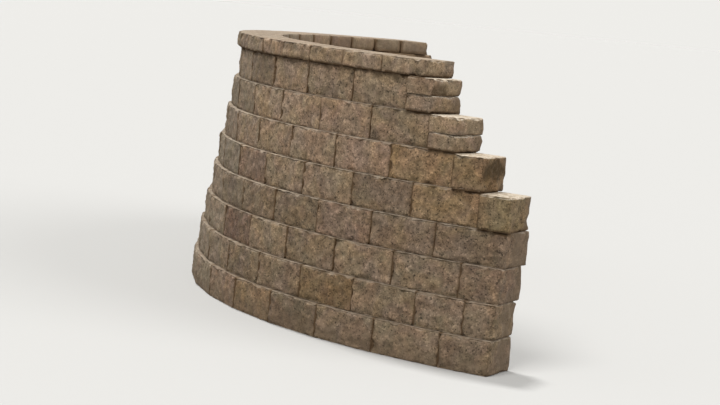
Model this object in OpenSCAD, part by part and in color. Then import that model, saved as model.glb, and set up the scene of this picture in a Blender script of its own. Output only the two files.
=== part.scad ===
// Curved garden retaining wall of dry-stacked split-face concrete blocks.
// It bows forward over an arc, and every course stands back a little from the course below.
// Each course down has one block more than the course above, centred on the nose of the
// curve, so the joints drift sideways as they go down and the top courses step down at the ends.
// Lengths are in millimetres, +Z is up, the nose faces -Y, and the origin lies on the ground
// at the centre of the wall's outline.

/* [Curve] */
// Radius of the face of the top course
top_radius = 3120; // [2900:10:4000]
// Distance that each course stands back from the course below
setback = 28; // [12:1:40]
// Number of full blocks in the top course
top_blocks = 12; // [10:1:14]

/* [Blocks] */
// Width of a block's face
block_w = 457.2; // [420:0.1:500]
// Height of a block and of a course
block_h = 203.2; // [150:0.1:250]
// Depth of a block from face to back
block_d = 304.8; // [260:0.1:340]
// How far each side of a block closes in towards the back
taper = 50.6; // [42:0.1:70]
// Width of the open joint between the faces of two blocks
joint = 3; // [1:0.1:6]
// Broken edge around each face
arris = 5; // [2:0.5:10]

/* [End units] */
// Face width of the units that close the stepped courses
end_w = 198; // [160:1:240]
// How far an end unit stands out from the face of its course
end_proud = 42; // [10:1:60]
// Narrowest unit that may close a course at its end
end_min = 180; // [120:1:220]

/* [Cap] */
// Face width of a cap unit
cap_w = 339.2; // [300:0.1:400]
// Height of a cap unit
cap_h = 101.6; // [70:0.1:140]
// Depth of a cap unit
cap_d = 304.8; // [260:0.1:330]
// How far each side of a cap unit closes in towards the back
cap_taper = 22; // [18:0.5:40]
// How far the cap stands out over the face of the top course
cap_overhang = 22; // [5:1:40]
// Least width of end unit left bare beyond the cap
cap_inset = 30; // [10:1:80]

/* [Hidden] */

// Courses counted from the ground, and how many of the top ones step down at the ends
courses = 8;
stepped = 4;
left = -1;
right = 1;
// Blocks in the nose of a course with an even count; an odd count has one more
nose_blocks = 4;
// Longest end that one block can close, as a share of a block's pitch
one_block = 1.05;

pitch = block_w + joint;
cap_pitch = cap_w + joint;
cap_radius = top_radius + cap_overhang;
wall_h = courses * block_h;
half_unit_h = block_h / 2;

// Radius of the face of a course
function face_r(c) = top_radius + setback * (courses - c);
// A flat face of width w whose corners lie on the radius r is this far from the centre
function apothem(r, w) = sqrt(r * r - w * w / 4);
// Angle from the nose, in degrees, of a point s along the arc of radius r
function angle_at(s, r) = s / r * 180 / PI;

// The lower courses all end at the same angle, flush under the last step
plain_top = courses - stepped;
end_run = (top_blocks + stepped) * pitch / 2;
function half_run(c) = end_run * face_r(c) / face_r(plain_top);
function odd(c) = (top_blocks + courses - c) % 2;
function fitted_blocks(c) =
    2 * floor((half_run(c) - end_min - odd(c) * pitch / 2) / pitch) + odd(c);
function full_blocks(c) = c > plain_top ? top_blocks + courses - c : fitted_blocks(c);
function full_run(c) = full_blocks(c) * pitch / 2;

// What is left beyond the full blocks of a lower course, closed by one unit or by two
function rest(c) = half_run(c) - full_run(c) - joint;
function needs_closer(c) = rest(c) > one_block * pitch;
function corner_w(c) = c > plain_top ? end_w : needs_closer(c) ? end_w : rest(c);
function closer_w(c) = rest(c) - end_w - joint;

// Arc position of the middle of block i, counted from the left, and of the corner unit
function block_s(c, i) = (i - (full_blocks(c) - 1) / 2) * pitch;
function corner_s(c) = c > plain_top
    ? full_run(c) + joint / 2 + end_w / 2
    : half_run(c) - joint / 2 - corner_w(c) / 2;
function closer_s(c) = full_run(c) + joint / 2 + closer_w(c) / 2;
function proud(c) = c > plain_top ? end_proud : 0;

// Farthest point behind the curve, at the outer back edge of a corner unit
function corner_back(c) =
    let (r = face_r(c) + proud(c), w = corner_w(c), a = angle_at(corner_s(c), face_r(c)))
    w / 2 * sin(a) - (apothem(r, w) - block_d) * cos(a);
back_y = max([for (c = [1 : courses]) corner_back(c)]);
nose_y = -apothem(face_r(1), block_w);
centre_y = -(nose_y + back_y) / 2;

// Cap units that fit between the bare ends of the top end units
cap_run = (full_run(courses) + end_w - cap_inset) * cap_radius / top_radius;
cap_units = floor(2 * cap_run / cap_pitch);
cap_side = floor(cap_units / 3);
function cap_s(i) = (i - (cap_units - 1) / 2) * cap_pitch;

// First and last block of the nose of a course
function nose_first(c) = (full_blocks(c) - nose_blocks - odd(c)) / 2;
function nose_last(c) = nose_first(c) + nose_blocks + odd(c) - 1;

// Concrete tones of the courses, from the ground up
tones = [
    [0.47, 0.44, 0.38], [0.50, 0.45, 0.38], [0.53, 0.45, 0.38], [0.55, 0.48, 0.40],
    [0.58, 0.48, 0.38], [0.56, 0.49, 0.40], [0.54, 0.46, 0.40], [0.55, 0.48, 0.42]
];
end_tone = [0.52, 0.47, 0.41];
cap_tone = [0.50, 0.46, 0.41];

// One unit standing on z = 0 with its face at y = 0: each side closes in by its own
// amount towards the back, and the edges around the face are broken
module unit(w, d, h, in_left, in_right) {
    intersection() {
        linear_extrude(h)
            polygon([
                [-w / 2 + arris, 0], [w / 2 - arris, 0], [w / 2, arris],
                [w / 2 - in_right, d], [-w / 2 + in_left, d], [-w / 2, arris]
            ]);
        rotate([90, 0, 90])
            linear_extrude(w, center = true)
                polygon([[arris, 0], [d, 0], [d, h], [arris, h], [0, h - arris], [0, arris]]);
    }
}

// Sets a unit of width w on the arc of radius r, s along it from the nose, at height z
module laid(r, s, w, z, proud = 0) {
    translate([0, centre_y, 0])
        rotate(angle_at(s, r))
            translate([0, -apothem(r + proud, w), z])
                children();
}

// A run of full blocks of course c, from block first to block last
module block_run(c, first, last) {
    for (i = [first : last])
        laid(face_r(c), block_s(c, i), block_w, (c - 1) * block_h)
            unit(block_w, block_d, block_h, taper, taper);
}

// Corner unit of a lower course: its outer side is square, and a closer may stand beside it
module corner(c, side) {
    laid(face_r(c), side * corner_s(c), corner_w(c), (c - 1) * block_h)
        unit(corner_w(c), block_d, block_h, side == right ? taper : 0, side == left ? taper : 0);
    if (needs_closer(c))
        laid(face_r(c), side * closer_s(c), closer_w(c), (c - 1) * block_h)
            unit(closer_w(c), block_d, block_h, taper, taper);
}

module course_left(c) {
    color(tones[c - 1]) {
        block_run(c, 0, nose_first(c) - 1);
        if (c <= plain_top) corner(c, left);
    }
}

module course_nose(c) {
    color(tones[c - 1]) block_run(c, nose_first(c), nose_last(c));
}

module course_right(c) {
    color(tones[c - 1]) {
        block_run(c, nose_last(c) + 1, full_blocks(c) - 1);
        if (c <= plain_top) corner(c, right);
    }
}

// End unit of a stepped course, of height h, raised by z above the bed of the course
module end_unit(c, side, h, z) {
    color(end_tone)
        laid(face_r(c), side * corner_s(c), end_w, (c - 1) * block_h + z, end_proud)
            unit(end_w, block_d, h, 0, 0);
}

module cap_part(first, last) {
    color(cap_tone)
        for (i = [first : last])
            laid(cap_radius, cap_s(i), cap_w, wall_h)
                unit(cap_w, cap_d, cap_h, cap_taper, cap_taper);
}

course_left(1);  // base_course_left
course_nose(1);  // base_course_nose
course_right(1);  // base_course_right
course_left(2);  // course_2_left
course_nose(2);  // course_2_nose
course_right(2);  // course_2_right
course_left(3);  // course_3_left
course_nose(3);  // course_3_nose
course_right(3);  // course_3_right
course_left(4);  // course_4_left
course_nose(4);  // course_4_nose
course_right(4);  // course_4_right
course_left(5);  // course_5_left
course_nose(5);  // course_5_nose
course_right(5);  // course_5_right
course_left(6);  // course_6_left
course_nose(6);  // course_6_nose
course_right(6);  // course_6_right
course_left(7);  // course_7_left
course_nose(7);  // course_7_nose
course_right(7);  // course_7_right
course_left(8);  // course_8_left
course_nose(8);  // course_8_nose
course_right(8);  // course_8_right
end_unit(5, left, block_h, 0);  // course_5_left_end
end_unit(5, right, block_h, 0);  // course_5_right_end
end_unit(6, left, block_h, 0);  // course_6_left_end
end_unit(6, right, block_h, 0);  // course_6_right_end
end_unit(7, left, half_unit_h, 0);  // course_7_left_end_lower
end_unit(7, left, half_unit_h, half_unit_h);  // course_7_left_end_upper
end_unit(7, right, half_unit_h, 0);  // course_7_right_end_lower
end_unit(7, right, half_unit_h, half_unit_h);  // course_7_right_end_upper
end_unit(8, left, half_unit_h, 0);  // course_8_left_end_lower
end_unit(8, left, half_unit_h, half_unit_h);  // course_8_left_end_upper
end_unit(8, right, half_unit_h, 0);  // course_8_right_end_lower
end_unit(8, right, half_unit_h, half_unit_h);  // course_8_right_end_upper
cap_part(0, cap_side - 1);  // cap_left
cap_part(cap_side, cap_units - cap_side - 1);  // cap_nose
cap_part(cap_units - cap_side, cap_units - 1);  // cap_right
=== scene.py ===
# %% [markdown]
# This file dresses a curved garden retaining wall: eight courses of split-face concrete
# blocks laid dry, each course standing a little behind the one below, under a thin cap.
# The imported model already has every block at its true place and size, so it could be shown
# as it is, but its faces are flat. Here each block is read off that model and built again
# with the broken face, chipped arrises, dirt and stains that the real ones have.

# %% Load the fixed frame
import math
import random
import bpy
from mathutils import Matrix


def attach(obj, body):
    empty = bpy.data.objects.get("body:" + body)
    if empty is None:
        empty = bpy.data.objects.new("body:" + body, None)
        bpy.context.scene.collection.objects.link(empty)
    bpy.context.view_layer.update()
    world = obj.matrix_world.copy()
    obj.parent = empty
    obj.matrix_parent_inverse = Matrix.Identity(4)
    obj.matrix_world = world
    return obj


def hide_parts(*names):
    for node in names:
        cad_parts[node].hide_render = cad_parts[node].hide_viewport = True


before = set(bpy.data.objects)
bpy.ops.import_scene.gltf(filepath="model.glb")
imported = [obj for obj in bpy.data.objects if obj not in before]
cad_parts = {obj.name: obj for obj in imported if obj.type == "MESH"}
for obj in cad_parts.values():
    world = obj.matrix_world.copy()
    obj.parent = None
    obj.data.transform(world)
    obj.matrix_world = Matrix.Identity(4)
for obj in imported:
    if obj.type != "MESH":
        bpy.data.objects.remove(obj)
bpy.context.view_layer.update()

from types import SimpleNamespace

import bmesh
import bpy
import numpy as np
from mathutils import Matrix, Vector, noise

# %% [markdown]
# A node of the frame is a run of separate blocks in one mesh. The blocks' places could be
# typed in again here, but then they would drift from the model when a size changes. So the
# mesh is welded and walked from corner to corner, and each island that comes out is a block.

# %% Split a node into its blocks
WELD = 1e-5  # corners closer than this are one corner, in metres


def island_from(start, seen):
    """Every corner of a mesh that edges join to the first one."""
    island = []
    waiting = [start]
    seen.add(start)
    while waiting:
        corner = waiting.pop()
        island.append(corner)
        for edge in corner.link_edges:
            other = edge.other_vert(corner)
            if other not in seen:
                seen.add(other)
                waiting.append(other)
    return island


def blocks_of(node_name):
    """The corners, and the normal and area of each face, of every block in a node."""
    mesh = bmesh.new()
    mesh.from_mesh(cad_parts[node_name].data)
    bmesh.ops.remove_doubles(mesh, verts=mesh.verts, dist=WELD)
    found = []
    seen = set()
    for start in mesh.verts:
        if start in seen:
            continue
        island = island_from(start, seen)
        faces = {face for corner in island for face in corner.link_faces}
        corners = np.array([corner.co for corner in island])
        found.append((corners, [(np.array(face.normal), face.calc_area()) for face in faces]))
    mesh.free()
    return found


raw = {name: blocks_of(name) for name in sorted(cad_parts)}
print("blocks read from the frame:", sum(len(blocks) for blocks in raw.values()))

# %% [markdown]
# Every course bends round the same upright axis. The cap units are all alike, so their
# middles lie on one circle, and a least squares fit of that circle gives the axis.

# %% Find the axis of the curve
def circle_centre(points):
    """Centre of the circle through a list of plan points."""
    x, y = points[:, 0], points[:, 1]
    terms = np.column_stack((2 * x, 2 * y, np.ones(len(x))))
    return np.linalg.lstsq(terms, x * x + y * y, rcond=None)[0][:2]


cap_middles = [corners[:, :2].mean(axis=0) for name in raw if name.startswith("cap")
               for corners, _ in raw[name]]
axis = circle_centre(np.array(cap_middles))
print("axis of the curve in plan:", axis.round(4))

# %% [markdown]
# A block is known by the turn of its face round the axis, how far the face is from the
# axis, its width, depth and height, and how much each side closes in towards the back.
# All of that is measured in the block's own directions: along the face, and into the wall.

# %% Measure each block
FACES_OUT = 0.9  # cosine that tells the face from the broken edges round it
TOUCH = 1e-4  # a point this near to a side lies on it, in metres


def measure(node_name, corners, faces):
    """Reads one block's size and place from its corners."""
    outward = corners[:, :2].mean(axis=0) - axis
    outward /= np.linalg.norm(outward)
    looking_out = [face for face in faces if face[0][:2] @ outward > FACES_OUT]
    normal = max(looking_out, key=lambda face: face[1])[0]
    turn = math.atan2(normal[0], -normal[1])
    along = np.array([math.cos(turn), math.sin(turn)])
    inward = np.array([-math.sin(turn), math.cos(turn)])
    x = (corners[:, :2] - axis) @ along
    y = (corners[:, :2] - axis) @ inward
    back = x[y > y.max() - TOUCH]
    return SimpleNamespace(
        node=node_name, turn=turn, along=along, inward=inward, reach=-y.min(),
        left=x.min(), right=x.max(), back_left=back.min(), back_right=back.max(),
        width=x.max() - x.min(), depth=y.max() - y.min(),
        foot=corners[:, 2].min(), height=corners[:, 2].max() - corners[:, 2].min())


units = [measure(name, *block) for name in raw for block in raw[name]]
units.sort(key=lambda unit: (unit.node, unit.turn))
print("widths in mm:", sorted({round(unit.width * 1000) for unit in units}))

# %% [markdown]
# The last block at each end of a row shows its outer side as well as its face. So the blocks
# are put in rows by the height of their feet, and the first and last of each are marked.

# %% Mark the blocks whose outer side shows
rows = {}
for unit in units:
    rows.setdefault(round(unit.foot, 3), []).append(unit)
for row in rows.values():
    row.sort(key=lambda unit: unit.turn)
    for unit in row:
        unit.open_left = unit is row[0]
        unit.open_right = unit is row[-1]
print("rows by height in mm:", {round(foot * 1000): len(row) for foot, row in rows.items()})

# %% [markdown]
# Cap units and end units are laid proud of the course under them, so their lower arrises
# hang free. Where two half-height end units lie one on the other, the upper one is flush
# with its twin and doesn't stand out. The names of the nodes say which is which.

# %% Mark the units that stand out
def kind_of(node_name):
    """Which kind of unit a node holds."""
    if "cap" in node_name:
        return "cap"
    return "end" if "end" in node_name else "course"


for unit in units:
    unit.kind = kind_of(unit.node)
    unit.proud = unit.kind != "course"
    unit.stands_out = unit.proud and not unit.node.endswith("upper")
print("units that stand out:", sum(unit.stands_out for unit in units))

# %% [markdown]
# Between two neighbours there is a narrow open joint. Its width needn't be typed in, because
# it is what the faces of the measured blocks leave over between their turns round the axis.

# %% Measure the joint between neighbours
gaps_found = []
for row in rows.values():
    for unit, neighbour in zip(row, row[1:]):
        taken = math.atan2(unit.right, unit.reach) - math.atan2(neighbour.left, neighbour.reach)
        gaps_found.append((neighbour.turn - unit.turn - taken) * unit.reach)
joint_width = float(np.median(gaps_found))
print("the joint is", round(joint_width * 1000, 2), "mm wide")

# %% [markdown]
# The concrete of these blocks was poured from mixed batches, so neighbours differ: most are a
# warm tan, some lean to rose, ochre, umber or grey. One even colour would look like plastic, and
# a random colour for each would look like a patchwork. So there is a short palette with a share
# for each tone, and the odd blocks that stand out are listed one by one. Olive and chestnut have
# no share, because only a listed block may have them.

# %% The palette of the concrete
def paint(red, green, blue):
    """A screen colour, 0 to 255, as the linear colour that shaders use."""
    def linear(value):
        value /= 255
        return value / 12.92 if value <= 0.04045 else ((value + 0.055) / 1.055) ** 2.4
    return np.array([linear(red), linear(green), linear(blue), 1.0])


tones = {
    "tan": (paint(132, 112, 92), 34),
    "buff": (paint(127, 108, 89), 32),
    "dun": (paint(122, 103, 84), 18),
    "rose": (paint(131, 109, 90), 6),
    "ochre": (paint(127, 104, 79), 1),
    "clay": (paint(117, 95, 71), 1),
    "olive": (paint(115, 97, 73), 0),
    "umber": (paint(114, 96, 78), 8),
    "russet": (paint(120, 99, 82), 5),
    "grey": (paint(118, 103, 87), 2),
    "chestnut": (paint(111, 89, 73), 0),
}
odd_blocks = {
    "course_8_right": {0: "umber", 2: "buff"},
    "course_7_right": {2: "rose", 3: "dun"},
    "course_6_right": {4: "ochre"},
    "course_5_nose": {4: "grey"},
    "course_5_right": {0: "russet", 3: "umber", 4: "ochre"},
    "course_4_right": {0: "umber", 2: "umber", 3: "russet", 4: "umber"},
    "course_3_right": {0: "chestnut"},
    "course_6_right_end": {0: "clay"},
    "course_5_right_end": {0: "olive"},
}
print("tones:", ", ".join(tones))

# %% [markdown]
# Each block draws its tone and all else that makes it differ from the next: a little more or less
# light, its own part of the noise, and how carelessly it was laid. The draw has a fixed seed, so
# the wall comes out the same each time. A listed block is found by its place in its node, counted
# from the left.

# %% Give each block its tone
TONE_SEED = 19391
TONE_SPREAD = 0.05  # how much lighter or darker than its tone a block may be
FOOT_PAINTED_SHADE = 0.16  # how much darker the foot of the wall is painted, as painted shade
FOOT_SHADE_UP_TO = 1.0  # height where that ends, in metres
NOISE_SPAN = 40.0  # how far off a block may look for its part of the noise
PUSH = 0.0025  # how far a block may be laid out of line, in metres
TWIST = 0.15  # how far it may be turned out of line, in degrees

draw = random.Random(TONE_SEED)
names = list(tones)
shares = [share for _, share in tones.values()]
count_in_node = {}
for unit in units:
    place_in_node = count_in_node.get(unit.node, 0)
    count_in_node[unit.node] = place_in_node + 1
    drawn = draw.choices(names, shares)[0]
    chosen = odd_blocks.get(unit.node, {}).get(place_in_node, drawn)
    # The wall is painted darker towards its foot, as painted shade.
    foot_shade = FOOT_PAINTED_SHADE * max(0.0, 1 - unit.foot / FOOT_SHADE_UP_TO)
    level = draw.uniform(1 - TONE_SPREAD, 1 + TONE_SPREAD) * (1 - foot_shade)
    unit.tone = tones[chosen][0] * [level, level, level, 1]
    unit.seed = np.array([draw.uniform(-NOISE_SPAN, NOISE_SPAN) for _ in range(3)])
    unit.push = draw.uniform(-PUSH, PUSH)
    unit.twist = math.radians(draw.uniform(-TWIST, TWIST))
print("blocks in the longest node:", max(count_in_node.values()))

# %% [markdown]
# A block starts as a hollow box skin with many small cells where it will be broken, on the
# face and the first few centimetres behind it, and few at the back, which stays as cast.
# A subdivided cube would spend as many cells on the hidden faces. So the skin is made from
# rings that run round the box, one behind the other, and large cells join on at one ring.

# %% Build the skin of a box from rings
STEP_DOWN = 4  # fine cells that one large cell takes the place of


def box_rim(across, up):
    """The cells' corners round the edge of a face, in order."""
    return ([(i, 0) for i in range(across)] + [(across, j) for j in range(up)]
            + [(across - i, up) for i in range(across)] + [(0, up - j) for j in range(up)])


def close_back(points, faces, ring, across, up, depth):
    """Fills the back of a box skin with large cells."""
    back = dict(zip(box_rim(across, up)[::STEP_DOWN], ring))
    for j in range(STEP_DOWN, up, STEP_DOWN):
        for i in range(STEP_DOWN, across, STEP_DOWN):
            back[i, j] = len(points)
            points.append((i / across, j / up, depth))
    for j in range(0, up, STEP_DOWN):
        for i in range(0, across, STEP_DOWN):
            faces.append((back[i, j], back[i, j + STEP_DOWN],
                          back[i + STEP_DOWN, j + STEP_DOWN], back[i + STEP_DOWN, j]))


def skin(across, up, fine_rows, large_rows):
    """Points as (across 0-1, up 0-1, depth in metres), and faces, of a box skin."""
    def front(i, j):
        return j * (across + 1) + i

    # the face
    rim = box_rim(across, up)
    points = [(i / across, j / up, 0.0) for j in range(up + 1) for i in range(across + 1)]
    faces = [(front(i, j), front(i + 1, j), front(i + 1, j + 1), front(i, j + 1))
             for j in range(up) for i in range(across)]
    ring = [front(i, j) for i, j in rim]
    # fine rings behind it
    for depth in fine_rows:
        new = list(range(len(points), len(points) + len(rim)))
        points += [(i / across, j / up, depth) for i, j in rim]
        faces += [(ring[k - 1], new[k - 1], new[k], ring[k]) for k in range(len(rim))]
        ring = new
    # large rings, the first of which joins on to the fine cells
    for depth in large_rows:
        new = list(range(len(points), len(points) + len(rim) // STEP_DOWN))
        points += [(i / across, j / up, depth) for i, j in rim[::STEP_DOWN]]
        size = len(ring) // len(new)
        for k in range(len(new)):
            after = (k + 1) % len(new)
            edge = [ring[(k * size + n) % len(ring)] for n in range(size, -1, -1)]
            faces.append((new[k], new[after], *edge))
        ring = new
    close_back(points, faces, ring, across, up, large_rows[-1])
    return np.array(points), faces


trial_points, trial_faces = skin(8, 4, [0.01], [0.05, 0.1])
print("a small trial skin has", len(trial_points), "points and", len(trial_faces), "faces")

# %% [markdown]
# Splitting tears the block apart through its stones, so the face swells and dips over the
# width of a hand, with lumps the size of a thumb on top. Sculpting each face by hand would
# take weeks. Fractal noise, added at several scales, gives a like surface for every block,
# and because each block looks at its own part of the noise, no two are the same.

# %% Noise over many points
SWELLS, SWELL_HEIGHT = 4.5, 0.0055  # how many to the metre, and how high in metres
RIDGES, RIDGE_HEIGHT = 11.0, 0.0095
LUMPS, LUMP_HEIGHT = 19.0, 0.0080
RIDGE_MEAN = 0.25  # what is taken off the ridges, so that they leave the face where it is


def cloud(points, per_metre, octaves, seed):
    """Fractal noise, about -1 to 1, with lumps of about 1 / per_metre metres."""
    spots = (points * per_metre + seed).tolist()
    return np.array([noise.fractal(spot, 1.0, 2.0, octaves) for spot in spots])


def smooth(low, high, value):
    """0 below low, 1 above high, and an S curve between."""
    t = np.clip((value - low) / (high - low), 0, 1)
    return t * t * (3 - 2 * t)


def split_relief(points, seed):
    """How far a split face lies behind its mean plane, and its small part, in metres."""
    swell = cloud(points, SWELLS, 2, seed)
    lumps = cloud(points, LUMPS, 3, seed + 11)
    ridges = np.abs(cloud(points, RIDGES, 2, seed + 23)) - RIDGE_MEAN
    small = LUMP_HEIGHT * lumps + RIDGE_HEIGHT * ridges
    return SWELL_HEIGHT * swell + small, small


probe = split_relief(np.random.default_rng(1).random((2000, 3)) * 0.4, 0.0)[0] * 1000
print("split relief in mm:", probe.min().round(1), "to", probe.max().round(1))

# %% [markdown]
# The arris, where two sides meet, breaks more than the rest: all along it the edge is
# blunt, and here and there a flake is gone. A bevel would be the same everywhere. Here the
# sides sink towards each edge they share, by an amount that the noise changes along it.
# Both sides read the noise at the same points, so the two halves of a chip meet.

# %% Chips along the arrises
ARRIS = 0.0045  # sizes in metres
FLAKE = 0.0105
NICKS, FLAKES = 26.0, 11.0  # how many to the metre
CHIP_REACH = 0.55  # how far a chip reaches in from the arris, as a share of its size
CHIP_REACH_LEAST = 0.003


def chip_size(points, seed):
    """How much of the arris is gone near each point, in metres."""
    blunt = 1 + 1.1 * cloud(points, NICKS, 2, seed + 37)
    flakes = smooth(0.05, 0.60, cloud(points, FLAKES, 2, seed + 51))
    return ARRIS * np.clip(blunt, 0.2, 2.4) + FLAKE * flakes


def near_edge(size, distance):
    """The part of a chip that reaches this far from the arris."""
    reach = CHIP_REACH * size + CHIP_REACH_LEAST
    return size * np.exp(-(distance / reach) ** 2)


print("an arris loses", ARRIS * 1000, "mm, and a flake", FLAKE * 1000, "mm more")

# %% [markdown]
# Not every arris is worn alike. At an upright joint the face rolls in and the side behind it
# hardly does. A bed stays crisp, because the blocks press on each other there. The foot of a
# cap or end unit hangs free and is knocked most, and an arris between two cast sides is
# nearly whole.

# %% How blunt each arris is
BLUNT_CAST = 0.45  # where a plain broken arris is 1
BLUNT = {  # how much the face sinks, and how much the side that it meets
    "joint": (1.6, 0.5),
    "proud joint": (0.8, 0.5),
    "bed": (0.3, 0.3),
    "free foot": (0.9, 1.7),
}


def bluntness(side, other, broken, unit):
    """How much one side sinks towards another, against a plain broken arris."""
    if "front" not in (side, other):
        return 1.0 if {side, other} & broken else BLUNT_CAST
    met = other if side == "front" else side
    if met == "top" or met in broken:
        return 1.0
    if met == "foot":
        face, behind = BLUNT["free foot" if unit.stands_out else "bed"]
    else:
        face, behind = BLUNT["proud joint" if unit.proud else "joint"]
    return face if side == "front" else behind


print("kinds of arris on a face:", ", ".join(BLUNT))

# %% [markdown]
# The blocks are wedges, so their sides part behind the face, and light would shine through
# every joint. On the real wall it doesn't, because the split leaves a lip on each side that
# nearly meets the next one. So the first few centimetres of each closed side run straight
# back, a hair past the middle of the joint, and then go over into the wedge.

# %% Close the joints just behind the face
LIP = 0.045  # depth over which neighbours lie side by side
LIP_END = 0.04  # length over which the lip goes over into the taper
OVERLAP = 0.0016  # the lips run into each other by this much, so no light comes through


def side_at(unit, front, back, depth, closed):
    """Where a side of a block lies, at each depth: a straight taper, or with a lip."""
    taper = front + (back - front) * depth / unit.depth
    if not closed:
        return taper
    outer = front + math.copysign(joint_width / 2, front)
    lip = outer * (1 - depth / unit.reach) + math.copysign(OVERLAP, front)
    return taper + (lip - taper) * (1 - smooth(LIP, LIP + LIP_END, depth))


print("the lip of a block is", LIP * 1000, "mm deep")

# %% [markdown]
# Three end units have a dark patch on the outer side. On two it is a stain where damp has soaked
# in; on the upper half unit under the cap at the right end it is painted shadow. It could be
# painted by hand. Here each is an oval, frayed by noise, with its middle and its reach in shares
# of the side's depth and height. Darkness 1 is the darkest.

# %% Stains, and one painted shadow, on the outer sides of the end units
FRAY = 0.55  # how far the noise moves the edge of a stain, as a share of its reach
FRAYS = 13.0  # how many to the metre
stains_and_painted_shadow = {
    "course_6_right_end": {"middle": (0.50, 0.64), "reach": (0.58, 0.35), "darkness": 1.0},
    "course_8_right_end_upper": {"middle": (0.24, 0.30), "reach": (0.34, 0.42), "darkness": 0.7},
    # This patch is painted shadow, not a stain.
    "course_7_left_end_lower": {"middle": (0.55, 0.45), "reach": (0.50, 0.40), "darkness": 0.8},
}


def stain_and_painted_shadow_at(unit, points, on_outer_side):
    """How stained each point is, or on one unit how deep in painted shadow, 0 to 1."""
    if unit.node not in stains_and_painted_shadow:
        return np.zeros(len(points))
    middle, reach, darkness = stains_and_painted_shadow[unit.node].values()
    deep = (points[:, 1] / unit.depth - middle[0]) / reach[0]
    high = (points[:, 2] / unit.height - middle[1]) / reach[1]
    frayed = np.hypot(deep, high) + FRAY * cloud(points, FRAYS, 3, unit.seed + 71)
    return darkness * on_outer_side * (1 - smooth(0.60, 1.20, frayed))


print("stained units:", ", ".join(stains_and_painted_shadow))

# %% [markdown]
# A dark line is painted just under a unit that stands out. It is painted shadow, because the
# lamps' own shadow there is too weak in soft light, with some dirt where rain never washes. So
# for each block the units that stand out right above it are looked up, and the painted shadow
# lies under those.

# %% Painted shadow and dirt under a unit that stands out
SHADOW_UNDER_DEPTH = 0.013  # how far down the painted shadow reaches before it fades, in metres
SHADOW_UNDER_ENDS = (-0.004, 0.006)  # distances past its end between which the painted shadow ends


def painted_shadow_under(unit, points):
    """How much each point is tucked under a unit that stands out above it, 0 to 1."""
    turn = unit.turn + np.arctan2(points[:, 0], unit.reach - points[:, 1])
    under = np.zeros(len(points))
    for above in units:
        if above.stands_out and abs(above.foot - unit.foot - unit.height) < TOUCH:
            beyond = np.abs(turn - above.turn) * above.reach - above.width / 2
            under = np.maximum(under, 1 - smooth(*SHADOW_UNDER_ENDS, beyond))
    return under * np.exp(-(unit.height - points[:, 2]) / SHADOW_UNDER_DEPTH)


# The painted shadow under a unit that stands out fades over this depth.
print("dirt in the shelter fades over", SHADOW_UNDER_DEPTH * 1000, "mm")

# %% [markdown]
# Blocks of one size share one skin, so each is made once and kept. Most blocks show only
# their face, and get fine rows for the first few centimetres. Units whose top or outer side
# shows get them all the way back.

# %% Find the skin for a block
CELL = 0.0082  # width of a fine cell, in metres
FINE_BACK = 0.012  # fine rows stop this far from the back
face_rows = [0.003, 0.007, 0.013, 0.022, 0.036]
open_rows = [0.003, 0.007, 0.013] + [0.013 + 0.0115 * step for step in range(1, 25)]
skins = {}


def cells_along(length):
    """How many fine cells a length gets, in whole large cells."""
    return max(STEP_DOWN, STEP_DOWN * round(length / CELL / STEP_DOWN))


def skin_for(unit):
    """The skin that fits a block's size, made once for each size."""
    shows_more = unit.proud or unit.open_left or unit.open_right
    depth = unit.depth
    fine = [row for row in (open_rows if shows_more else face_rows) if row < depth - FINE_BACK]
    large = [depth - 0.004, depth] if shows_more else [0.09, 0.2, depth - 0.005, depth]
    key = (cells_along(unit.width), cells_along(unit.height), len(fine), round(depth, 4))
    if key not in skins:
        skins[key] = skin(key[0], key[1], fine, large)
    return skins[key]


print("a full block's face has", cells_along(0.4572), "by", cells_along(0.2032), "cells")

# %% [markdown]
# Now a block is put together. The skin is stretched to the block's size and taper, and for
# each point it is noted how far it lies from each of the six sides. All that comes after
# works with these distances, so it fits a block of any size.

# %% Stretch the skin over a block
def broken_sides(unit):
    """The sides that were split, where the others are as cast."""
    return {"front"} | {side for side in ("left", "right") if getattr(unit, "open_" + side)}


def stretch(unit, grid):
    """Local points of a block, and how far each lies from each side."""
    squared = unit.kind == "end"
    depth = grid[:, 2]
    low = side_at(unit, unit.left, unit.back_left, depth, not (unit.open_left or squared))
    high = side_at(unit, unit.right, unit.back_right, depth, not (unit.open_right or squared))
    x = low + (high - low) * grid[:, 0]
    z = grid[:, 1] * unit.height
    gaps = {"left": x - low, "right": high - x, "front": depth, "back": unit.depth - depth,
            "foot": z, "top": unit.height - z}
    return np.column_stack((x, depth, z)), gaps


def lies_on(sides, gaps):
    """1 for each point that lies on one of the sides, and 0 for the rest."""
    nowhere = np.zeros(len(gaps["front"]))
    return np.max([nowhere, *(gaps[side] < TOUCH for side in sides)], axis=0)


print("the first block's broken sides:", sorted(broken_sides(units[0])))

# %% [markdown]
# Each of the six sides is moved inwards by its own relief. A corner lies on two or three
# sides and is moved by all of them, which rounds it. Broken sides get the split relief, and
# the cast ones only a faint unevenness. The face is crowned too, a little, because the
# splitter bites deepest at its rim.

# %% Break the sides of a block
CAST = 0.0005  # unevenness of a cast side
CAST_PER_METRE = 40.0
PILLOW = 0.0040  # how far the rim of a face lies behind its middle
PILLOW_RIM = 0.026
FULL_PILLOW_FROM = 0.15  # a lower unit is crowned less
INWARD = {"left": (1, 0, 0), "right": (-1, 0, 0), "front": (0, 1, 0),
          "back": (0, -1, 0), "foot": (0, 0, 1), "top": (0, 0, -1)}
OPPOSITE = {"left": "right", "right": "left", "front": "back",
            "back": "front", "foot": "top", "top": "foot"}


def crown(unit, gaps):
    """How far the face lies behind its middle at each point."""
    to_rim = np.min([gaps[side] for side in ("left", "right", "foot", "top")], axis=0)
    return PILLOW * min(1, unit.height / FULL_PILLOW_FROM) * np.exp(-to_rim / PILLOW_RIM)


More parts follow.
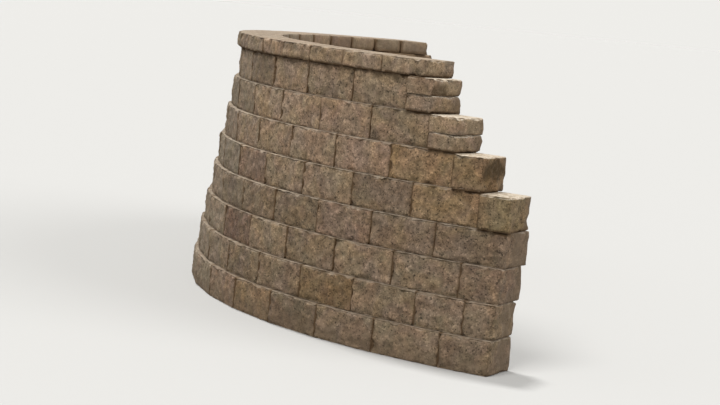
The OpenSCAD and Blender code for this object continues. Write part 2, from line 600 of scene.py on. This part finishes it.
def break_sides(unit, points, gaps):
    """How each point of a block moves, and the small part of the split relief there."""
    broken = broken_sides(unit)
    chips = chip_size(points, unit.seed)
    relief, small = split_relief(points, unit.seed)
    uneven = CAST * (1 + cloud(points, CAST_PER_METRE, 2, unit.seed + 3))
    move = np.zeros_like(points)
    for side, direction in INWARD.items():
        sink = relief.copy() if side in broken else uneven.copy()
        if side == "front":
            sink += crown(unit, gaps)
        for other in INWARD:
            if other not in (side, OPPOSITE[side]):
                sink += near_edge(bluntness(side, other, broken, unit) * chips, gaps[other])
        on_it = gaps[side] < TOUCH
        move[on_it] += np.array(direction) * sink[on_it, None]
    return move, small


print("the rim of a face lies", PILLOW * 1000, "mm behind its middle")

# %% [markdown]
# Dirt gathers where wind and rain don't reach: thick in the upright joints, and thin and patchy
# along the beds. Along the free foot of whatever stands out, and just under it, a thick dark
# strip is painted shade. A line drawn at each joint would look ruled. So the dirt and the painted
# shade fade away from each joint, and they are fainter on the face than a few millimetres behind
# it.

# %% Gather dirt in the joints, and paint shade under what stands out
JOINT_DIRT_AND_SHADOW = 2.2  # strengths at the joint itself, where 1 or more is solid dirt in a joint, and solid painted shade under what stands out
BED_DIRT = 0.4
# Painted shade along the free foot of a unit that stands out.
FREE_FOOT_PAINTED_SHADE = 1.6
DIRT_WIDTH = 0.007  # distances over which the dirt fades, in metres
FREE_FOOT_SHADE_WIDTH = 0.010
DIRT_AND_SHADE_ON_FACE = 0.36  # share of the dirt and painted shade that is left on the face itself
DIRT_AND_SHADE_GROWS = (0.001, 0.010)  # depths behind the face between which it grows by that strength


def bed_dirt_and_foot_shade(unit, points, gaps):
    """Dirt along the foot of a block, and painted shade instead along the free foot of a unit
    that stands out.
    """
    if unit.stands_out:
        return FREE_FOOT_PAINTED_SHADE * np.exp(-gaps["foot"] / FREE_FOOT_SHADE_WIDTH)
    patchy = np.clip(0.7 + 1.2 * cloud(points, 5.0, 2, unit.seed + 83), 0, 1)
    return BED_DIRT * patchy * np.exp(-gaps["foot"] / DIRT_WIDTH)


def joint_dirt_and_shade(unit, points, gaps):
    """How dark each point is made by dirt in the joints and by painted shade under what stands
    out, 0 to 1.
    """
    to_joint = np.min([gaps[side] for side in {"left", "right"} - broken_sides(unit)], axis=0)
    upright = JOINT_DIRT_AND_SHADOW * np.exp(-to_joint / DIRT_WIDTH)
    painted_under_shadow = JOINT_DIRT_AND_SHADOW * painted_shadow_under(unit, points)
    most = np.max([upright, bed_dirt_and_foot_shade(unit, points, gaps), painted_under_shadow], axis=0)
    return np.clip(most * (DIRT_AND_SHADE_ON_FACE + smooth(*DIRT_AND_SHADE_GROWS, gaps["front"])), 0, 1)


print("dirt in the joints fades over", DIRT_WIDTH * 1000, "mm")

# %% [markdown]
# The materials need to know what each point is like: its block's tone, how near it is to an
# arris, split or cast, in a hollow, dirty or under painted shade, stained or in one painted
# shadow, or on the shady side. It all follows from the distances to the sides and the way the
# block faces, so no mask has to be painted.

# %% Note what each point's surface is like
RIM = 0.010  # width of the worn rim that also carries a painted highlight, in metres
HOLLOW = 0.0075  # relief that counts as a full hollow
CLINGS_BEHIND = {"course": 0.05, "end": 0.20, "cap": 0.26}  # depth where dirt starts to cling
CLINGING_BLEND = 0.08
SHADY = (0.90, 0.995)  # cosines of the turn from the nose, between which the shade deepens


def surface_notes(unit, points, gaps, small):
    """What the materials need to know about each point, by name."""
    broken = broken_sides(unit)
    edge = np.partition(np.stack(list(gaps.values())), 1, axis=0)[1]
    behind = CLINGS_BEHIND[unit.kind]
    clinging = smooth(behind, behind + CLINGING_BLEND, gaps["front"])
    return {"tone": np.tile(unit.tone, (len(points), 1)),
            "grain_at": points + unit.seed,
            "rim": np.exp(-edge / RIM),
            "split": lies_on(broken, gaps),
            "hollow": small / HOLLOW,
            # The joint note holds dirt in the joints and painted shade under what stands out.
            "joint": joint_dirt_and_shade(unit, points, gaps),
            "stain_and_shadow": stain_and_painted_shadow_at(unit, points, lies_on(broken - {"front"}, gaps)),
            "clinging": clinging * (gaps["top"] > TOUCH),
            "shady": np.full(len(points), smooth(*SHADY, math.cos(unit.turn)))}


def break_block(unit):
    """Local points of a block, how they move, its faces, and the notes on its surface."""
    grid, faces = skin_for(unit)
    points, gaps = stretch(unit, grid)
    move, small = break_sides(unit, points, gaps)
    return points, move, faces, surface_notes(unit, points, gaps, small)


sample = break_block(units[0])
print(units[0].node, "block:", len(sample[0]), "points,", len(sample[2]), "faces")

# %% [markdown]
# Each block goes back to its own spot on the curve. Blocks laid by hand are never quite in
# line, so each is pushed in or out by up to a few millimetres and turned by a hair.

# %% Set a block on the curve
def on_the_curve(unit, points):
    """Turns local points into places in the frame."""
    turn = unit.twist
    middle = (unit.left + unit.right) / 2
    x = (points[:, 0] - middle) * math.cos(turn) - points[:, 1] * math.sin(turn) + middle
    y = (points[:, 0] - middle) * math.sin(turn) + points[:, 1] * math.cos(turn)
    y += unit.push - unit.reach
    plan = axis + x[:, None] * unit.along + y[:, None] * unit.inward
    return np.column_stack((plan, points[:, 2] + unit.foot))


print("first block's corner:", on_the_curve(units[0], sample[0][:1]).round(3))

# %% [markdown]
# The blocks of one node become one joined mesh, which stands for that node. The notes on
# each point are stored on the mesh as named attributes, where the materials find them.

# %% Join the blocks of a node into one piece
KINDS = {"tone": ("FLOAT_COLOR", "color"), "grain_at": ("FLOAT_VECTOR", "vector")}


def store(mesh, name, values):
    """Saves one value for each point of a mesh."""
    kind, field = KINDS.get(name, ("FLOAT", "value"))
    values = np.ravel(np.concatenate(values).astype(np.float32))
    mesh.attributes.new(name, kind, "POINT").data.foreach_set(field, values)


def build_piece(node_name):
    """Makes the piece that stands for one node."""
    places, faces, notes = [], [], {}
    start = 0
    for unit in units:
        if unit.node != node_name:
            continue
        points, move, cells, own_notes = break_block(unit)
        places.append(on_the_curve(unit, points + move))
        faces += [tuple(corner + start for corner in cell) for cell in cells]
        start += len(points)
        for name, values in own_notes.items():
            notes.setdefault(name, []).append(values)
    mesh = bpy.data.meshes.new(node_name + "_stone")
    mesh.from_pydata(np.concatenate(places).tolist(), [], faces)
    for name, values in notes.items():
        store(mesh, name, values)
    mesh.shade_smooth()
    piece = bpy.data.objects.new(node_name + "_stone", mesh)
    bpy.context.scene.collection.objects.link(piece)
    return piece


pieces = {name: build_piece(name) for name in sorted(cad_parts)}
triangles = sum(len(face.vertices) - 2 for piece in pieces.values()
                for face in piece.data.polygons)
print(len(pieces), "pieces with", triangles, "triangles")

# %% [markdown]
# The pieces ride with the wall's one body and stand for the plain nodes, which are hidden. The
# finish in the record that each piece takes follows from its place in the wall.

# %% Tie the pieces to the frame
def slot_of(node_name):
    """The record's finish for a node."""
    kind = kind_of(node_name)
    if kind != "course":
        return kind + "_units"
    low = node_name.startswith(("base", "course_2", "course_3"))
    return "lower_blocks" if low else "upper_blocks"


for name, piece in pieces.items():
    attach(piece, "root")
    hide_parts(name)
print("finishes in use:", sorted({slot_of(name) for name in pieces}))

# %% [markdown]
# Materials are graphs of nodes, and wiring them by hand takes a line for every socket. A few
# short helpers keep the graphs readable.

# %% Helpers for node graphs
def add(tree, kind, sockets=None, **options):
    """Adds a node, sets its options, and fills or links its inputs."""
    made = tree.nodes.new("ShaderNode" + kind)
    for option, value in options.items():
        setattr(made, option, value)
    for socket, value in (sockets or {}).items():
        if isinstance(value, bpy.types.NodeSocket):
            tree.links.new(value, made.inputs[socket])
        else:
            made.inputs[socket].default_value = value
    return made


def mix(tree, factor, first, second, how="MIX"):
    """Mixes two colours."""
    sockets = {0: factor, 6: first, 7: second}
    return add(tree, "Mix", sockets, data_type="RGBA", blend_type=how).outputs[2]


def calc(tree, how, first, second=0.0, clamp=False):
    """Does one sum."""
    return add(tree, "Math", {0: first, 1: second}, operation=how, use_clamp=clamp).outputs[0]


def times(tree, first, second, clamp=False):
    """Multiplies two values."""
    return calc(tree, "MULTIPLY", first, second, clamp)


def remap(tree, value, low, high, to_low=0.0, to_high=1.0):
    """Moves a range of values to another range, with soft ends."""
    sockets = {"Value": value, "From Min": low, "From Max": high,
               "To Min": to_low, "To Max": to_high}
    return add(tree, "MapRange", sockets, interpolation_type="SMOOTHSTEP").outputs[0]


def scaled(tree, color, factor):
    """A colour made lighter or darker by a factor."""
    return add(tree, "VectorMath", {0: color, "Scale": factor}, operation="SCALE").outputs[0]


def noise_in(tree, at, scale, detail, **more):
    """The outputs of a noise texture."""
    return add(tree, "TexNoise", {"Vector": at, "Scale": scale, "Detail": detail, **more}).outputs


def new_group(name, inputs, outputs):
    """An empty node group with named inputs and outputs."""
    tree = bpy.data.node_groups.new(name, "ShaderNodeTree")
    for title, kind in inputs.items():
        tree.interface.new_socket(title, in_out="INPUT", socket_type="NodeSocket" + kind)
    for title, kind in outputs.items():
        tree.interface.new_socket(title, in_out="OUTPUT", socket_type="NodeSocket" + kind)
    given = tree.nodes.new("NodeGroupInput").outputs
    result = tree.nodes.new("NodeGroupOutput").inputs
    return tree, given, result


print("helpers ready")

# %% [markdown]
# Close up, the concrete is full of small stones and sand, with a pit wherever a bubble or a lost
# grain was. Voronoi cells make the stones, most of them near one shade and a few much paler or
# darker, and a fine noise makes the sand. The points of a sparser set of cells make the pits,
# whose size each cell's random colour sets, and each pit is darkened in the colour as painted
# shade. The group gives a shade for the colour and a height for the bump, so that the two always
# agree. Its Broken input brings out the stones on split sides, where a cast side keeps a skin of
# cement over them.

# %% Group: stones, sand and pits
SAND = 320.0  # how many grains to the metre
STONE_MEAN = 0.13  # shade that the stones add on average
CEMENT_SKIN = 0.2  # how much of the stones shows through a cast side
PITS = 78.0  # how many to the metre
PIT_SIZES = 2.5  # the higher this is, the fewer pits are large
LARGEST_PIT = 0.55
SMALLEST_PIT = 0.02


def pits(tree, at):
    """1 inside a pit and 0 outside."""
    cells = add(tree, "TexVoronoi", {"Vector": at, "Scale": PITS}).outputs
    size = add(tree, "SeparateColor", {0: cells["Color"]}).outputs[0]
    size = times(tree, calc(tree, "POWER", size, PIT_SIZES), LARGEST_PIT)
    size = calc(tree, "ADD", size, SMALLEST_PIT)
    return remap(tree, calc(tree, "DIVIDE", cells["Distance"], size), 0.45, 1.1, 1.0, 0.0)


def stone_shades(tree, random_shade, bare):
    """The shade that the stones add: mostly middling, with a few pale and dark ones."""
    pale = remap(tree, random_shade, 0.86, 0.93, 0.0, 0.36)
    dark = remap(tree, random_shade, 0.06, 0.12, -0.36, 0.0)
    shades = times(tree, random_shade, 0.25)
    shades = calc(tree, "ADD", shades, calc(tree, "ADD", pale, dark))
    shades = times(tree, calc(tree, "SUBTRACT", shades, STONE_MEAN), bare)
    return calc(tree, "ADD", shades, STONE_MEAN)


def make_grain_group():
    """The group of stones, sand and pits."""
    tree, given, result = new_group(
        "Stones sand and pits", {"At": "Vector", "Stones per metre": "Float", "Broken": "Float"},
        {"Shade": "Float", "Height": "Float"})
    at = given["At"]
    stones = add(tree, "TexVoronoi", {"Vector": at, "Scale": given["Stones per metre"]}).outputs
    random_shade = add(tree, "SeparateColor", {0: stones["Color"]}).outputs[0]
    sand = noise_in(tree, at, SAND, 3.0, Roughness=0.7)[0]
    pit = pits(tree, at)
    bare = remap(tree, given["Broken"], 0.0, 1.0, CEMENT_SKIN, 1.0)
    speckle = calc(tree, "ADD", stone_shades(tree, random_shade, bare),
                   times(tree, sand, 0.70))
    # Each pit is darkened in the shade, as painted shade in the hole.
    shade = calc(tree, "SUBTRACT", speckle, times(tree, pit, 0.42))
    dome = calc(tree, "SUBTRACT", 0.6, stones["Distance"])
    dome = times(tree, dome, times(tree, bare, 0.7))
    height = calc(tree, "SUBTRACT", calc(tree, "ADD", dome, sand), pit)
    tree.links.new(shade, result["Shade"])
    tree.links.new(height, result["Height"])
    return tree


grain_group = make_grain_group()
print("group:", grain_group.name)

# %% [markdown]
# From a few steps away the face is blotched: the cement is paler in one place and browner
# or redder in another. A wide and a close noise make the block's tone lighter and darker,
# the grain's shade goes on top, and a third noise tints it weakly in two ways at once, from
# cool to warm and from mauve to olive.

# %% Group: blotches on the tone of a block
COOL = (0.977, 1.021, 1.03, 1)
WARM = (1.033, 1.002, 0.925, 1)
MAUVE = (1.006, 0.987, 1.036, 1)
OLIVE = (0.994, 1.013, 0.964, 1)
GRAIN_MEAN = 0.46  # the grain's shade that leaves the tone as it is
GRAIN_STRENGTH = 0.95


def tinted(tree, color, at):
    """A colour with weak tints over it."""
    tints = noise_in(tree, at, 6.0, 3.0, Distortion=0.6)["Color"]
    tints = add(tree, "SeparateColor", {0: tints}).outputs
    cool_or_warm = mix(tree, remap(tree, tints[0], 0.36, 0.64), COOL, WARM)
    mauve_or_olive = mix(tree, remap(tree, tints[1], 0.36, 0.64), MAUVE, OLIVE)
    color = mix(tree, 1.0, color, cool_or_warm, "MULTIPLY")
    return mix(tree, 1.0, color, mauve_or_olive, "MULTIPLY")


def make_blotch_group():
    """The group of blotches."""
    tree, given, result = new_group(
        "Blotches", {"Tone": "Color", "At": "Vector", "Grain": "Float", "Strength": "Float"},
        {"Color": "Color"})
    at = given["At"]
    wide = noise_in(tree, at, 7.0, 3.0)[0]
    close = noise_in(tree, at, 30.0, 8.0, Roughness=0.78)[0]
    dark_or_light = calc(tree, "ADD", remap(tree, wide, 0.3, 0.7, -0.06, 0.06),
                         remap(tree, close, 0.34, 0.66, -0.30, 0.30))
    speck = calc(tree, "SUBTRACT", given["Grain"], GRAIN_MEAN)
    speck = times(tree, speck, GRAIN_STRENGTH)
    change = calc(tree, "ADD", dark_or_light, speck)
    level = calc(tree, "ADD", times(tree, change, given["Strength"]), 1.0)
    tree.links.new(scaled(tree, tinted(tree, given["Tone"], at), level), result["Color"])
    return tree


blotch_group = make_blotch_group()
print("group:", blotch_group.name)

# %% [markdown]
# Weather works from outside. Dry dirt splashes on the lowest course, lies as dust on the tops and
# clings to the backs, and sun and rain bleach what faces up; the bleaching also paints the tops
# paler as painted sunlight. Each is a mask from the height up the wall, from how far the surface
# faces up, or from the notes on the mesh, broken by noise so that its edge is never a straight
# line.

# %% Masks of dirt, and of bleaching with painted sunlight
SPLASH_HEIGHT = 0.20  # how far up dirt splashes at most, in metres
SPLASH_LEAST = 0.02
FACES_UP = (0.35, 0.85)  # upward parts of the normal between which a surface starts to count


def dirt_mask(tree, given, patchy):
    """Where dry dirt covers the concrete."""
    line = calc(tree, "ADD", times(tree, patchy, SPLASH_HEIGHT), SPLASH_LEAST)
    splash = remap(tree, calc(tree, "DIVIDE", given["Height"], line), 0.3, 1.25, 1.0, 0.0)
    splash = times(tree, splash, given["Splash"], clamp=True)
    clinging = remap(tree, patchy, 0.36, 0.60, 0.25, 0.80)
    clinging = times(tree, clinging, given["Clinging"])
    dust = times(tree, remap(tree, given["Facing up"], *FACES_UP), given["Dust"])
    dust = times(tree, dust, remap(tree, patchy, 0.38, 0.58, 0.35, 1.0), clamp=True)
    return calc(tree, "MAXIMUM", calc(tree, "MAXIMUM", splash, clinging), dust)


def bleach_and_sunlight_mask(tree, given, streaky):
    """Where the concrete is bleached, which also paints sunlight on what faces up."""
    up = times(tree, remap(tree, given["Facing up"], *FACES_UP), given["Bleach"])
    broken_up = remap(tree, streaky, 0.36, 0.56, 0.25, 1.0)
    return times(tree, up, broken_up, clamp=True)


print("dirt splashes up to", SPLASH_HEIGHT + SPLASH_LEAST, "m")

# %% [markdown]
# The group lays one colour over another: a grey film on the shady side, a thin green growth where
# it stays damp, the bleaching with its painted sunlight on the tops, the dirt, and last the damp
# stains, with one painted shadow among them. Mixed in one group, they make all four finishes
# weather in the same way and differ only in how much.

# %% Group: weather, with painted sunlight and shadow
SHADY_FILM = (0.185, 0.162, 0.122, 1)
GROWTH = (0.125, 0.128, 0.075, 1)
# The pale colour of what faces up is bleaching and painted sunlight at once.
BLEACHED_AND_SUNLIT = (0.46, 0.395, 0.31, 1)
DRY_DIRT = (0.125, 0.088, 0.056, 1)
# The darkest stain colour also paints one shadow on an end unit.
DAMP_STAIN_AND_SHADOW = (0.045, 0.027, 0.009, 1)


def make_weather_and_light_group():
    """The group of everything that weather does, with painted sunlight on the tops and one
    painted shadow.
    """
    amounts = ("Facing up", "Height", "Splash", "Growth", "Bleach", "Dust", "Clinging",
               "Shady side", "Stain and shadow")
    tree, given, result = new_group(
        "Weather and painted light", {"Color": "Color", "At": "Vector", **dict.fromkeys(amounts, "Float")},
        {"Color": "Color"})
    at = given["At"]
    patchy = noise_in(tree, at, 9.0, 5.0, Roughness=0.65)[0]
    streaky = noise_in(tree, at, 38.0, 3.0)[0]
    film = times(tree, remap(tree, streaky, 0.3, 0.7, 0.25, 0.55), given["Shady side"])
    grown = times(tree, remap(tree, patchy, 0.50, 0.66), given["Growth"], clamp=True)
    stain_and_shadow = times(tree, given["Stain and shadow"], remap(tree, streaky, 0.3, 0.6, 0.72, 0.95))
    color = mix(tree, film, given["Color"], SHADY_FILM)
    color = mix(tree, grown, color, GROWTH)
    color = mix(tree, bleach_and_sunlight_mask(tree, given, streaky), color, BLEACHED_AND_SUNLIT)
    color = mix(tree, dirt_mask(tree, given, patchy), color, DRY_DIRT)
    color = mix(tree, stain_and_shadow, color, DAMP_STAIN_AND_SHADOW)
    tree.links.new(color, result["Color"])
    return tree


weather_and_light_group = make_weather_and_light_group()
print("group:", weather_and_light_group.name)

# %% [markdown]
# A finish is built in layers from the block's tone outwards: grain and blotches, the worn rim
# with its painted highlight, painted shade in the hollows and painted light on the lumps, the
# weather with its painted sunlight on the tops, and on top of it all the dirt in the joints, with
# painted shade under what stands out.

# %% Layers of a finish
NOTES = ("tone", "grain_at", "rim", "split", "hollow", "joint", "stain_and_shadow", "clinging", "shady")
# The pale rim is wear and also a painted highlight along every arris.
WORN_AND_HIGHLIGHT = (0.33, 0.28, 0.21, 1)
# The joint colour paints dirt in the joints and painted shade under what stands out.
JOINT_DIRT_AND_SHADE_COLOR = (0.095, 0.055, 0.025, 1)
JOINT_DIRT_AND_SHADE_COVER = 0.88  # how much of the concrete the thickest dirt and painted shade hide


def bare_color(tree, note, grain, blotches):
    """The concrete before any weather: tone, blotches, the worn rim with its painted highlight,
    and painted shade in the hollows with painted light on the lumps.
    """
    blotched = add(tree, "Group", {
        "Tone": note["tone"]["Color"], "At": note["grain_at"]["Vector"],
        "Grain": grain["Shade"], "Strength": blotches}, node_tree=blotch_group).outputs[0]
    worn_and_highlit = remap(tree, note["rim"]["Fac"], 0.60, 0.98, 0.0, 0.16)
    # Hollows are painted darker and lumps paler, as painted shade and light of the relief.
    deep = remap(tree, note["hollow"]["Fac"], -1.0, 1.0, 1.16, 0.78)
    return scaled(tree, mix(tree, worn_and_highlit, blotched, WORN_AND_HIGHLIGHT), deep)


def weathered_with_painted_light(tree, note, color, amounts):
    """A colour with the weather, its painted sunlight and shadow, and the dirt and painted shade
    of the joints over it.
    """
    shape = add(tree, "NewGeometry").outputs
    color = add(tree, "Group", {
        "Color": color, "At": note["grain_at"]["Vector"],
        "Facing up": add(tree, "SeparateXYZ", {0: shape["Normal"]}).outputs[2],
        "Height": add(tree, "SeparateXYZ", {0: shape["Position"]}).outputs[2],
        "Clinging": note["clinging"]["Fac"], "Shady side": note["shady"]["Fac"],
        "Stain and shadow": note["stain_and_shadow"]["Fac"], **amounts}, node_tree=weather_and_light_group).outputs[0]
    dirt_and_shade = times(tree, note["joint"]["Fac"], JOINT_DIRT_AND_SHADE_COVER)
    return mix(tree, dirt_and_shade, color, JOINT_DIRT_AND_SHADE_COLOR)


print("notes read from the meshes:", ", ".join(NOTES))

# %% [markdown]
# One function makes the material of each finish. The four differ in how fine their stones are and
# in how much dirt, growth, and bleaching with painted sunlight they carry, because they sit at
# different heights. The shader is the same: rough all over, a little less so on pale grains, with
# hardly any shine.

# %% Build the four finishes
def concrete(name, stones, blotches, **amounts):
    """The material of one finish."""
    material = bpy.data.materials.new(name)
    material.use_nodes = True
    tree = material.node_tree
    shader = tree.nodes["Principled BSDF"]
    note = {kind: add(tree, "Attribute", attribute_name=kind).outputs for kind in NOTES}
    grain = add(tree, "Group", {
        "At": note["grain_at"]["Vector"], "Stones per metre": stones,
        "Broken": note["split"]["Fac"]}, node_tree=grain_group).outputs
    color = weathered_with_painted_light(tree, note, bare_color(tree, note, grain, blotches), amounts)
    rough = remap(tree, grain["Shade"], 0.2, 0.7, 0.97, 0.86)
    bump = add(tree, "Bump", {"Height": grain["Height"], "Strength": 0.75, "Distance": 0.003})
    tree.links.new(color, shader.inputs["Base Color"])
    tree.links.new(rough, shader.inputs["Roughness"])
    tree.links.new(bump.outputs[0], shader.inputs["Normal"])
    shader.inputs["Specular IOR Level"].default_value = 0.25
    return material


finishes = {
    "lower_blocks": concrete("Soiled split concrete", 120.0, 1.0,
                             Splash=0.45, Growth=0.15, Bleach=0.45, Dust=0.70),
    "upper_blocks": concrete("Split concrete", 120.0, 1.0,
                             Splash=0.0, Growth=0.05, Bleach=0.55, Dust=0.45),
    "end_units": concrete("End unit concrete", 135.0, 0.95,
                          Splash=0.3, Growth=0.10, Bleach=1.0, Dust=0.15),
    "cap_units": concrete("Cap concrete", 150.0, 0.9,
                          Splash=0.0, Growth=0.08, Bleach=0.50, Dust=0.50),
}
for name, piece in pieces.items():
    piece.data.materials.append(finishes[slot_of(name)])
print("finishes:", [material.name for material in finishes.values()])

# %% [markdown]
# The wall stands on a plain pale floor, which catches its shadow. A curved backdrop would do
# as well, but this floor is so wide that its far edge melts into the background.

# %% Floor
FLOOR_SIZE = 400.0
FLOOR_COLOR = (0.402, 0.397, 0.383, 1)

floor_mesh = bpy.data.meshes.new("floor")
half = FLOOR_SIZE / 2
floor_mesh.from_pydata([(-half, -half, 0), (half, -half, 0), (half, half, 0), (-half, half, 0)],
                       [], [(0, 1, 2, 3)])
floor = bpy.data.objects.new("floor", floor_mesh)
bpy.context.scene.collection.objects.link(floor)
floor_paint = bpy.data.materials.new("Pale floor")
floor_paint.use_nodes = True
floor_shader = floor_paint.node_tree.nodes["Principled BSDF"]
floor_shader.inputs["Base Color"].default_value = FLOOR_COLOR
floor_shader.inputs["Roughness"].default_value = 0.9
floor_shader.inputs["Specular IOR Level"].default_value = 0.1
floor_mesh.materials.append(floor_paint)
print("the floor is", FLOOR_SIZE, "m wide")

# %% [markdown]
# An even world lights the faces at the level their colours are written for. What is seen
# behind the wall should be paler than that light, so the light path tells the two apart:
# rays that light the wall get the one, and rays from the camera or from gloss the other.

# %% World
LIGHT_STRENGTH = 0.38
BACKGROUND = (0.859, 0.850, 0.818, 1)

world = bpy.data.worlds.new("Studio")
bpy.context.scene.world = world
world.use_nodes = True
air = world.node_tree
glow = air.nodes["Background"]
glow.inputs["Color"].default_value = (1, 1, 1, 1)
glow.inputs["Strength"].default_value = LIGHT_STRENGTH
seen = add(air, "Background", {"Color": BACKGROUND, "Strength": 1.0})
ray = add(air, "LightPath").outputs
shiny = calc(air, "MAXIMUM", ray["Is Glossy Ray"], ray["Is Transmission Ray"])
seen_by = calc(air, "MAXIMUM", ray["Is Camera Ray"], shiny)
both = add(air, "MixShader", {0: seen_by, 1: glow.outputs[0], 2: seen.outputs[0]})
air.links.new(both.outputs[0], air.nodes["World Output"].inputs["Surface"])
print("world:", world.name)

# %% [markdown]
# In the photograph the light comes from high behind the wall and a little from its left, so
# the tops are bright and the faces are in open shade. One soft sun there lights the tops, a
# wider one at the front gives the faces some shape, and a third lights the outer sides of
# the stepped end.

# %% Lamps
def soft_sun(name, towards, strength, spread):
    """A distant lamp whose light travels in the given direction."""
    lamp = bpy.data.lights.new(name, "SUN")
    lamp.energy = strength
    lamp.angle = math.radians(spread)
    placed = bpy.data.objects.new(name, lamp)
    placed.rotation_euler = Vector(towards).to_track_quat("-Z", "Y").to_euler()
    bpy.context.scene.collection.objects.link(placed)
    return placed


lamps = [
    soft_sun("key", (0.32, 0.15, -1.0), 2.6, 8),
    soft_sun("fill", (-0.48, 0.32, -0.80), 2.5, 26),
    soft_sun("side", (-0.25, -0.85, -0.60), 1.6, 40),
]
print("lamps:", [lamp.name for lamp in lamps])

# %% [markdown]
# The camera stands where the photograph was taken from: in front of the wall's end, a
# little above its cap, and tilted sideways by almost six degrees. The wall is small in that
# picture, so the lens here is longer and looks straight at it. Turning and zooming from the
# same spot changes the framing but not what hides what.

# %% Camera
CAMERA_AT = Vector((13.549, -0.068, 2.055))
LOOKS_AT = Vector((2.5, 0.06, 0.86))
ROLL = math.radians(5.816)
LENS = 95.0

ahead = (LOOKS_AT - CAMERA_AT).normalized()
level_right = ahead.cross(Vector((0, 0, 1))).normalized()
level_up = level_right.cross(ahead)
right = level_right * math.cos(ROLL) + level_up * math.sin(ROLL)
upward = level_up * math.cos(ROLL) - level_right * math.sin(ROLL)
turned = Matrix((right, upward, -ahead)).transposed().to_4x4()
camera = bpy.data.objects.new("camera", bpy.data.cameras.new("camera"))
camera.matrix_world = Matrix.Translation(CAMERA_AT) @ turned
camera.data.lens = LENS
camera.data.sensor_width = 36.0
camera.data.clip_end = 500.0
bpy.context.scene.collection.objects.link(camera)
bpy.context.scene.camera = camera
bpy.context.scene.view_settings.view_transform = "Standard"
print("camera is", round((LOOKS_AT - CAMERA_AT).length, 2), "m from what it looks at")
